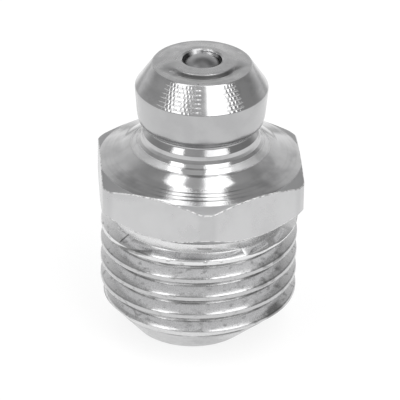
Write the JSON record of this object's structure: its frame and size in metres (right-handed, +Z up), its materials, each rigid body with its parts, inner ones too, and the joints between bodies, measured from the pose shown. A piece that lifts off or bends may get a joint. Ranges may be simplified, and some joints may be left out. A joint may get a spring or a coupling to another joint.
{
  "type": "grease nipple",
  "caption": "Straight grease nipple with a right-hand threaded shank, hexagon, ridged neck, tapered head and a spring-loaded ball that closes its inlet.",
  "frame": {"origin": "middle of the end face of the threaded shank", "axes": "+Z up the axis, out through the inlet in the head; the front corner of the hexagon looks along -Y"},
  "size_m": [0.0102, 0.011, 0.0147],
  "materials": {
    "plated_steel": "bright zinc plating over turned steel",
    "ball_steel": "polished hardened steel",
    "spring_steel": "drawn spring wire"
  },
  "bodies": {
    "fitting": {"body": "plated_steel", "spring": "spring_steel"},
    "ball": {"check_ball": "ball_steel"}
  },
  "joints": [
    {"name": "valve_slide", "type": "slide", "parent": "fitting", "child": "ball", "axis": [0, 0, -1], "range_m": [0, 0.0008], "stiffness_N_per_m": 150, "springref_m": -0.003, "deforming": ["spring"]}
  ]
}
